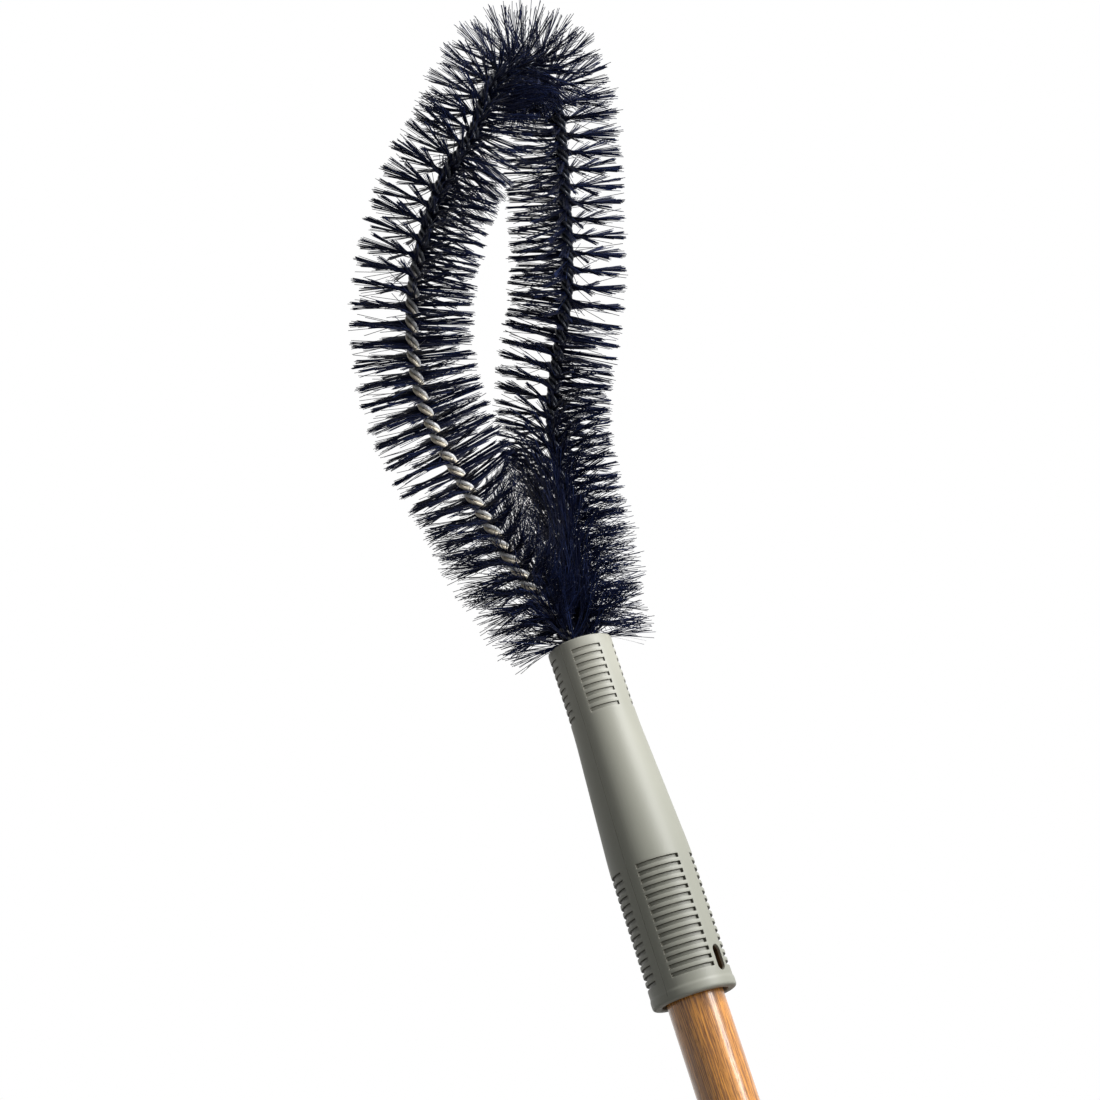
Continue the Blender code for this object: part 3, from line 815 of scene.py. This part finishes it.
class Finish(Sheet):
    """The node tree of a Principled material."""

    def __init__(self, name, **plain_values):
        self.surface = bpy.data.materials.new(name)
        self.surface.use_nodes = True
        super().__init__(self.surface.node_tree)
        for label, value in plain_values.items():
            self.taker(label).default_value = value

    def taker(self, label):
        """The shader's input of that name, with its spaces written as underscores."""
        return self.tree.nodes["Principled BSDF"].inputs[label.replace("_", " ")]

    def feed(self, **values):
        """Link what varies over a surface to its shader. Returns the material."""
        for label, value in values.items():
            self.tree.links.new(value.socket, self.taker(label))
        return self.surface

    def place(self):
        return self.node("ShaderNodeTexCoord", output="Object")

    def carried(self, name):
        """A number that the piece's mesh carries."""
        return self.node("ShaderNodeAttribute", output="Fac", attribute_name=name)

    def noise(self, scale, detail=3, roughness=0.5):
        """Noise in object coordinates, with one scale for all axes or a scale for each."""
        place = self.place()
        if isinstance(scale, tuple):
            place = self.node("ShaderNodeMapping", {"Vector": place, "Scale": scale},
                              vector_type="POINT")
            scale = 1
        return self.node("ShaderNodeTexNoise", {"Vector": place, "Scale": scale,
                                                "Detail": detail, "Roughness": roughness})

    def spread(self, mask, low, high):
        """Carries a noise to low..high."""
        return self.between(mask, NOISE_LOW, NOISE_HIGH, low, high)

    def bump(self, height, strength, distance):
        return self.node("ShaderNodeBump",
                         {"Height": height, "Strength": strength, "Distance": distance})


def darker(tone, kept):
    return tuple(kept * part for part in tone)


def filament_material(sizes):
    """Extruded navy filament that reads near-black, each a little paler or darker."""
    sheet = Finish("navy_filament", Specular_IOR_Level=0.15)
    shade = sheet.carried("shade")
    return sheet.feed(Base_Color=sheet.blend(shade ** GLINT_POWER, sizes.deep, sizes.glint),
                      Roughness=sheet.between(shade, 0, 1, 0.36, 0.55, "LINEAR"))


def wire_material(name, metal, painted_shade):
    """Galvanised wire: zinc with pale and dark blotches, with painted shade where the fill covers
    it.
    """
    sheet = Finish(name, Metallic=0.06)
    blotch = sheet.noise(900, detail=4, roughness=0.6)
    tone = sheet.blend(sheet.between(blotch, 0.25, 0.5), darker(metal, BLOTCH_KEPT), metal)
    fine = sheet.noise(4000, detail=2)
    # Painted shade: the wire turns to a dark colour where the fill covers it
    return sheet.feed(Base_Color=sheet.blend(sheet.carried("shaded_by_fill"), tone, painted_shade),
                      Roughness=sheet.spread(blotch, 0.2, 0.35),
                      Normal=sheet.bump(fine, strength=0.25, distance=WIRE_RELIEF))


def plastic_material(sizes):
    """Satin moulded plastic, with a fine moulded grain and faint flow marks."""
    sheet = Finish("grey_plastic", Specular_IOR_Level=0.45)
    flow = sheet.noise((40, 40, 12))
    grain = sheet.noise(2600, roughness=0.6)
    groove = sheet.carried("groove")
    z, out = sheet.axes(sheet.place())[2:]
    # Painted light and shade: paler towards the neck, darker towards the mouth
    height = sheet.between(z, MOUTH + sizes.taper_start, RIM, ease="LINEAR")
    tone = sheet.blend(height, sizes.shaded_plastic, sizes.plastic)
    faint = sheet.between(flow, 0.65, 0.35) * 0.4
    tone = sheet.blend(faint, tone, darker(sizes.shaded_plastic, FLOW_KEPT))

    # Painted shade: on the grooves' walls, on their floors, inside behind the slot, on the parting
    # lines
    wall = groove * (1 - groove) * 4
    behind = sizes.body / 2 - sizes.slot_wall
    deep = sheet.between(out, behind, behind - SHADE_DEPTH)
    off_slot = sheet.sum("ABSOLUTE", z - MOUTH - sizes.slot_centre)
    deep = deep * sheet.between(off_slot, sizes.slot_length, sizes.slot_length * SHADE_REACH)
    painted_shade = wall * WALL_SHADE + groove * FLOOR_SHADE + deep * SLOT_SHADE
    painted_shade = painted_shade + sheet.carried("parting") * PARTING_SHADE
    return sheet.feed(Base_Color=sheet.blend(painted_shade, tone, sizes.painted_shade_tone),
                      Roughness=sheet.spread(flow, 0.46, 0.56),
                      Normal=sheet.bump(grain, strength=0.35, distance=MOULDED_RELIEF))


def wood_material(sizes):
    """Straight-grained softwood under clear varnish."""
    sheet = Finish("varnished_wood", Coat_Roughness=0.16, Coat_IOR=1.42,
                   Specular_IOR_Level=0.35)
    sway = sheet.noise((60, 60, 3), roughness=0.55)
    bands = sheet.noise((300, 300, 6), roughness=0.6)
    lines = sheet.noise((2000, 2000, 60), roughness=0.7)
    pores = sheet.noise((2400, 2400, 220), detail=2, roughness=0.6)
    pore = sheet.between(pores, 0.57, 0.67)
    tone = sizes.wood
    for mask, over in ((sheet.between(sway, 0.4, 0.6) * 0.5, darker(sizes.wood, SWAY_KEPT)),
                       (sheet.between(bands, 0.42, 0.62) * 0.4, sizes.streak),
                       (sheet.between(lines, 0.45, 0.57) * 0.8, sizes.streak),
                       (pore * 0.55, darker(sizes.streak, PORE_KEPT))):
        tone = sheet.blend(mask, tone, over)
    return sheet.feed(Base_Color=tone, Roughness=sheet.spread(pores, 0.38, 0.5),
                      Coat_Weight=sheet.between(pore, 0, 1, 0.95, 0.3),
                      Normal=sheet.bump(pores, strength=0.15, distance=WOOD_RELIEF))


def plug_material():
    """Dull black moulded plastic."""
    sheet = Finish("black_plastic")
    cloud = sheet.noise(300)
    grain = sheet.noise(2600)
    return sheet.feed(Base_Color=sheet.blend(cloud, *PLUG_TONES),
                      Roughness=sheet.spread(cloud, 0.45, 0.6),
                      Normal=sheet.bump(grain, strength=0.3, distance=MOULDED_RELIEF))


def sleeve_material():
    """Zinc-plated steel."""
    sheet = Finish("zinc_plated_steel", Metallic=1.0)
    rub = sheet.noise((300, 300, 2500))
    return sheet.feed(Base_Color=sheet.blend(rub, *SLEEVE_TONES),
                      Roughness=sheet.spread(rub, 0.25, 0.4),
                      Normal=sheet.bump(rub, strength=0.2, distance=SLEEVE_RELIEF))


def spaced(marks, step):
    """The marks in order, with more between them wherever they lie further apart than step."""
    marks = sorted(set(round(mark, 7) for mark in marks))
    filled = []
    for low, high in zip(marks, marks[1:]):
        parts = max(1, math.ceil((high - low) / step - 1e-6))
        filled += [low + (high - low) * i / parts for i in range(parts)]
    return filled + [marks[-1]]


def eased_corner(before, corner, after, steps=8):
    """Round a corner of an outline with a parabola between its two tangent points."""
    points = []
    for i in range(steps + 1):
        t = i / steps
        a, b, c = (1 - t) ** 2, 2 * t * (1 - t), t ** 2
        points.append(tuple(a * p + b * q + c * r for p, q, r in zip(before, corner, after)))
    return points


def groove_marks(first, grooves, sizes):
    """Heights of the grooves' walls, floors and lands."""
    half, edge, half_pitch = sizes.groove / 2, sizes.edge / 2, sizes.pitch / 2
    marks = []
    for i in range(grooves):
        middle = first + i * sizes.pitch
        marks.append(middle)
        for way in (-1, 1):
            marks += [middle + way * (half + edge * part) for part in (-1, -0.5, 0, 0.5, 1)]
            marks += [middle + way * half_pitch, middle + way * (half + half_pitch) / 2]
    return marks


def outer_side(sizes):
    """Points (radius, height) from the rim down to the mouth, close enough for the grooves."""
    total = RIM - MOUTH
    body, neck = sizes.body / 2, sizes.neck / 2
    slope = (body - neck) / (sizes.taper_end - sizes.taper_start)
    ease, lip = sizes.ease, body + sizes.lip_step
    outline = eased_corner((neck, sizes.taper_end + ease), (neck, sizes.taper_end),
                           (neck + slope * ease, sizes.taper_end - ease))
    outline += eased_corner((body - slope * ease, sizes.taper_start + ease),
                            (body, sizes.taper_start), (body, sizes.taper_start - ease))
    radii, heights = np.array(outline).T
    foot = sizes.lip + sizes.lip_ease
    marks = [total - sizes.rim_edge, foot, *heights]
    marks += groove_marks(sizes.body_first, sizes.body_grooves, sizes)
    marks += groove_marks(sizes.neck_first, sizes.neck_grooves, sizes)
    marks = [mark for mark in marks if foot <= mark <= total - sizes.rim_edge]
    wall = [(float(np.interp(h, heights[::-1], radii[::-1])), h)
            for h in reversed(spaced(marks, WALL_STEP))]
    top = eased_corner((neck - sizes.rim_edge, total), (neck, total),
                       (neck, total - sizes.rim_edge), 4)
    middle = ((body + lip) / 2, sizes.lip)
    step = eased_corner(wall[-1], (body, sizes.lip + sizes.lip_ease / 2), middle, 4)
    brim = eased_corner(middle, (lip, sizes.lip - sizes.lip_ease / 2),
                        (lip, sizes.lip - sizes.lip_ease), 4) + [(lip, sizes.lip_edge)]
    foot_edge = eased_corner((lip, sizes.lip_edge), (lip, 0), (lip - sizes.lip_edge, 0), 6)
    return top[:-1] + wall[:-1] + step[:-1] + brim[:-1] + foot_edge


def inner_side(sizes):
    """Points (radius, height) from the mouth up the bore to the rim."""
    total = RIM - MOUTH
    mouth, neck, edge = sizes.mouth_bore, sizes.neck_bore, sizes.rim_edge
    ledge = neck - sizes.ledge
    ledge_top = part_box("stem_plug")[0].z - MOUTH - sizes.ledge_gap
    ledge_foot = ledge_top - sizes.ledge_height
    points = eased_corner((mouth + edge, 0), (mouth, 0), (mouth, edge), 4)
    points += [(mouth, sizes.taper_start - sizes.ease), (sizes.seat_bore, sizes.seat_depth),
               (neck, sizes.taper_end), (neck, ledge_foot - sizes.ledge),
               (ledge, ledge_foot), (ledge, ledge_top), (neck, ledge_top)]
    points += eased_corner((neck, total - edge / 2), (neck, total), (neck + edge / 2, total), 3)
    return points


def socket_angles(sizes):
    """Angles of the lathe's columns: the panels' ends, the parting lines and the rest."""
    marks = [0, math.tau]
    edge = sizes.edge / sizes.body
    for panel in range(sizes.panels):
        middle = sizes.panel_turn + panel * math.tau / sizes.panels
        for spread in (sizes.body_panel, sizes.neck_panel):
            for way in (-1, 1):
                marks += [middle + way * spread / 2 + edge * part for part in (-1, 0, 1)]
    for way in (-1, 1):
        for part in PARTING_MARKS:
            marks += [math.pi + way * part * PARTING, math.pi + way * (math.pi - part * PARTING)]
    marks.append(math.pi)
    return spaced(marks, WALL_TURN)[:-1]


def socket_mesh(sizes):
    """The socket turned on a lathe, with its parting lines."""
    rows = [(*point, 1.0) for point in outer_side(sizes)]
    rows += [(*point, 0.0) for point in inner_side(sizes)]
    angles = socket_angles(sizes)
    rings, parting = [], []
    for radius, height, outside in rows:
        on_wall = outside and sizes.lip_edge < height < RIM - MOUTH - sizes.rim_edge
        raised = [on_wall and min(swing, abs(swing - math.pi), math.tau - swing) < 2 * PARTING
                  for swing in angles]
        rings.append([round_axis(radius + sizes.ridge * bool(up), swing, MOUTH + height)
                      for up, swing in zip(raised, angles)])
        parting += [float(up) for up in raised]
    mesh = skinned("socket_shell", rings, closed=True)
    # Marks the parting lines, which the plastic darkens with painted shade
    carry(mesh, "parting", parting)
    carry(mesh, "outside", np.repeat([row[2] for row in rows], len(angles)))
    carry(mesh, "groove", np.zeros(len(parting)))
    return mesh


def turns(sides, start=0):
    """Angles of a ring's points, from so many steps past 0."""
    return [math.tau * (i + start) / sides for i in range(sides)]


def round_axis(radius, swing, height):
    return radius * math.cos(swing), radius * math.sin(swing), height


def smooth(mesh, sharpest):
    """Shade a mesh smooth, but for edges sharper than an angle."""
    mesh.shade_smooth()
    mesh.set_sharp_from_angle(angle=sharpest)


def skinned(name, rings, closed=False):
    """A mesh over rings of points: a closed tube, or a solid with its end rings filled."""
    wide, tall = len(rings[0]), len(rings)
    faces = [(i * wide + j, i * wide + (j + 1) % wide,
              (i + 1) % tall * wide + (j + 1) % wide, (i + 1) % tall * wide + j)
             for i in range(tall if closed else tall - 1) for j in range(wide)]
    if not closed:
        faces += [tuple(range(wide)), tuple(range((tall - 1) * wide, tall * wide))]
    mesh = bpy.data.meshes.new(name)
    mesh.from_pydata([point for ring in rings for point in ring], [], faces)
    bm = bmesh.new()
    bm.from_mesh(mesh)
    bmesh.ops.recalc_face_normals(bm, faces=bm.faces)
    bm.to_mesh(mesh)
    bm.free()
    return mesh


def slot_cutter(sizes, overrun=2 * MM, sides=32):
    """A prism with round ends for the slot, its chamfer and the hollow behind it."""
    half_width, straight = sizes.slot_width / 2, (sizes.slot_length - sizes.slot_width) / 2
    body, edge, hollow = sizes.body / 2, sizes.slot_edge, sizes.slot_hollow
    behind = body - sizes.slot_wall

    foot, turn = (body - edge * part for part in CHAMFER_DEPTHS)
    narrow, wide = (edge * part for part in CHAMFER_WIDTHS)

    # From the axis out, each level with how far it passes the slot's sides
    levels = ((0, hollow), (behind, hollow), (behind, 0), (foot, 0), (turn, narrow),
              (body + overrun, wide + overrun))
    rings = []
    for depth, wider in levels:
        round_end = [round_axis(half_width + wider, swing, -depth) for swing in turns(sides, 0.5)]
        rings.append([(x, y, MOUTH + sizes.slot_centre + z + math.copysign(straight, z))
                      for x, z, y in round_end])
    return placed("slot_cutter", skinned("slot_cutter", rings))


def make_socket(sizes):
    mesh = socket_mesh(sizes)
    surface = plastic_material(sizes)
    tree = groove_tree()
    shared = {**picked(sizes, (*GROOVE_GIVEN, "panels")), "turn": sizes.panel_turn}
    body = {**shared, "first": MOUTH + sizes.body_first, "count": sizes.body_grooves,
            "panel": sizes.body_panel}
    neck = {**shared, "first": MOUTH + sizes.neck_first, "count": sizes.neck_grooves,
            "panel": sizes.neck_panel, "depth": sizes.neck_depth}
    shell = grown("socket_shell", mesh, [(tree, body, surface), (tree, neck, surface)])
    cutter = slot_cutter(sizes)
    boolean = shell.modifiers.new("slot", "BOOLEAN")
    boolean.operation = "DIFFERENCE"
    boolean.solver = "EXACT"
    boolean.object = cutter
    plain(shell)
    bpy.data.objects.remove(cutter)
    smooth(shell.data, SOCKET_SHARP)
    fitted(shell, "head", "socket_plastic", "socket")


def make_pole(sizes):
    """The pole turned on a lathe, with rounded ends."""
    radius, edge = POLE_DIAMETER / 2, sizes.edge
    end = eased_corner((radius - edge, 0), (radius, 0), (radius, edge), 6)
    rows = end + [(radius, h) for h in spaced([edge, POLE_TOP - edge], POLE_STEP)[1:-1]]
    rows += [(r, POLE_TOP - h) for r, h in reversed(end)]
    mesh = skinned("pole_shaft", [[round_axis(r, turn, h) for turn in turns(sizes.sides)]
                                  for r, h in rows])
    smooth(mesh, POLE_SHARP)
    mesh.materials.append(wood_material(sizes))
    fitted(placed("pole_shaft", mesh), "handle", "pole_wood", "pole")


def make_wires(sizes):
    core = Core(sizes)
    tree = wire_tree()
    cool = wire_material("galvanised_wire", sizes.metal, sizes.painted_shade)
    # One wire of each pair gets the warm tint: painted warm reflection
    warm_reflection = wire_material("galvanised_wire_warm", sizes.warm_reflection_metal, sizes.painted_shade)
    for i, (across, off) in enumerate(((1, 1), (-1, 1), (-1, -1), (1, -1))):
        name = f"core_wire_{i + 1}"
        line = core.line(name, 0, core.run[-1], sizes.twist / sizes.steps)
        given = {"pitch": sizes.twist, "across": across * sizes.across,
                 "off_fill": off * sizes.off_fill, "wire": sizes.wire, "sides": sizes.sides}
        wire = grown(name, line, [(tree, given, warm_reflection if across == off else cool)])
        wire.data.shade_smooth()
        fitted(wire, "head", "core_wire", f"wire_{i + 1}")


def make_fill(sizes, loop):
    core = Core(loop)
    tree = fill_tree()
    surface = filament_material(sizes)
    first, last = core.above(RIM + sizes.rise)
    span = (last - first) / sizes.pieces
    given = {**picked(sizes, (*FILL_GIVEN, "joints")), "pitch": loop.twist,
             "rim": RIM + sizes.rim_clear}
    for i in range(sizes.pieces):
        name = f"fill_{i + 1:02d}"
        line = core.line(name, first + i * span, first + i * span + span, ROUTE_STEP)
        fill = grown(name, line, [(tree, {**given, "seed": SEEDS_EACH * i}, surface)])
        fill.data.shade_smooth()
        fitted(fill, "head", "bristle_filament", f"bristles_{i + 1:02d}")


def dress(node, surface):
    """Give a carried-over node its material."""
    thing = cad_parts[node]
    thing.data.materials.clear()
    thing.data.materials.append(surface)


def basis(ahead, up):
    """Rotation of a camera or lamp that looks ahead."""
    back = -ahead.normalized()
    right = up.cross(back).normalized()
    return Matrix((right, back.cross(right), back)).transposed().to_4x4()


def make_camera(sizes):
    data = bpy.data.cameras.new("camera")
    data.sensor_width = SENSOR_WIDTH
    data.lens = sizes.focal / MM
    camera = placed("camera", data)
    camera.matrix_world = Matrix.Translation(CAMERA_PLACE) @ basis(CAMERA_AHEAD, CAMERA_UP)
    bpy.context.scene.camera = camera


def make_lamp(name, place, watts, size):
    data = bpy.data.lights.new(name, "AREA")
    data.shape = "ELLIPSE"
    data.energy = watts
    data.size, data.size_y = size
    lamp = placed(name, data)
    lamp.matrix_world = Matrix.Translation(place) @ basis(LOOP_PLACE - place, Vector((0, 0, 1)))


def make_world(sizes):
    world = bpy.data.worlds.new("studio")
    bpy.context.scene.world = world
    world.use_nodes = True
    sheet = Sheet(world.node_tree)
    path = sheet.node("ShaderNodeLightPath", output="Is Camera Ray")
    seen = path + path.other("Is Glossy Ray") + path.other("Is Transmission Ray")
    seen = sheet.sum("MINIMUM", seen, 1.0)
    strength = seen + (1 - seen) * sizes.sky
    background = world.node_tree.nodes["Background"]
    background.inputs["Color"].default_value = (1, 1, 1, 1)
    sheet.tree.links.new(strength.socket, background.inputs["Strength"])


def make_floor(sizes):
    mesh = bpy.data.meshes.new("studio_floor")
    rim = [round_axis(FLOOR_RADIUS, turn, 0) for turn in turns(FLOOR_SIDES)]
    mesh.from_pydata(rim, [], [range(FLOOR_SIDES)])
    floor = placed("studio_floor", mesh)
    sheet = Finish("studio_floor", Roughness=0.9, Emission_Strength=1.0,
                   Base_Color=(*sizes.floor, 1))
    seen = sheet.node("ShaderNodeLightPath", output="Is Camera Ray")
    glow = sheet.blend(seen, (0, 0, 0), darker(sizes.floor, FLOOR_GLOW))
    mesh.materials.append(sheet.feed(Emission_Color=glow))


class BRUSH_OT_pole(bpy.types.Operator):
    """Make the varnished wooden pole"""
    bl_idname = "brush.pole"
    bl_label = "Pole"

    def execute(self, context):
        make_pole(context.scene.brush_pole)
        return {"FINISHED"}


class BRUSH_OT_socket(bpy.types.Operator):
    """Make the moulded socket with its grip grooves and slot"""
    bl_idname = "brush.socket"
    bl_label = "Socket"

    def execute(self, context):
        make_socket(context.scene.brush_socket)
        return {"FINISHED"}


class BRUSH_OT_anchor(bpy.types.Operator):
    """Finish the plug and the crimped sleeve in the neck"""
    bl_idname = "brush.anchor"
    bl_label = "Plug and sleeve"

    def execute(self, context):
        dress("stem_plug", plug_material())
        dress("stem_sleeve", sleeve_material())
        return {"FINISHED"}


class BRUSH_OT_wires(bpy.types.Operator):
    """Make the four twisted wires of the core"""
    bl_idname = "brush.wires"
    bl_label = "Core wires"

    def execute(self, context):
        make_wires(context.scene.brush_loop)
        return {"FINISHED"}


class BRUSH_OT_fill(bpy.types.Operator):
    """Make the bristle fill along the whole loop"""
    bl_idname = "brush.fill"
    bl_label = "Bristle fill"

    def execute(self, context):
        make_fill(context.scene.brush_fill, context.scene.brush_loop)
        return {"FINISHED"}


class BRUSH_OT_studio(bpy.types.Operator):
    """Make the floor, the light and the camera"""
    bl_idname = "brush.studio"
    bl_label = "Studio"

    def execute(self, context):
        sizes = context.scene.brush_studio
        make_camera(sizes)
        make_world(sizes)
        make_floor(sizes)
        make_lamp("key", KEY_PLACE, sizes.key, KEY_SIZE)
        make_lamp("strip", STRIP_PLACE, sizes.fill, STRIP_SIZE)
        bpy.context.scene.view_settings.view_transform = "Standard"
        return {"FINISHED"}


OPERATORS = (BRUSH_OT_pole, BRUSH_OT_socket, BRUSH_OT_anchor, BRUSH_OT_wires, BRUSH_OT_fill,
             BRUSH_OT_studio)


class BRUSH_PT_panel(bpy.types.Panel):
    """Lists the pieces of the brush"""
    bl_idname = "BRUSH_PT_panel"
    bl_label = "Duct brush"
    bl_space_type = "VIEW_3D"
    bl_region_type = "UI"
    bl_category = "Duct brush"

    def draw(self, context):
        for operator in OPERATORS:
            self.layout.operator(operator.bl_idname)
        for name, group in SETS.items():
            box = self.layout.box()
            for field in group.__annotations__:
                box.prop(getattr(context.scene, name), field)


CLASSES = (*SETS.values(), *OPERATORS, BRUSH_PT_panel)


def register():
    for cls in CLASSES:
        bpy.utils.register_class(cls)
    for name, group in SETS.items():
        setattr(bpy.types.Scene, name, PointerProperty(type=group))


def unregister():
    for name in SETS:
        delattr(bpy.types.Scene, name)
    for cls in reversed(CLASSES):
        bpy.utils.unregister_class(cls)


def main():
    register()
    bpy.ops.brush.pole()
    bpy.ops.brush.socket()
    bpy.ops.brush.anchor()
    bpy.ops.brush.wires()
    bpy.ops.brush.fill()
    bpy.ops.brush.studio()


if __name__ == "__main__":
    main()
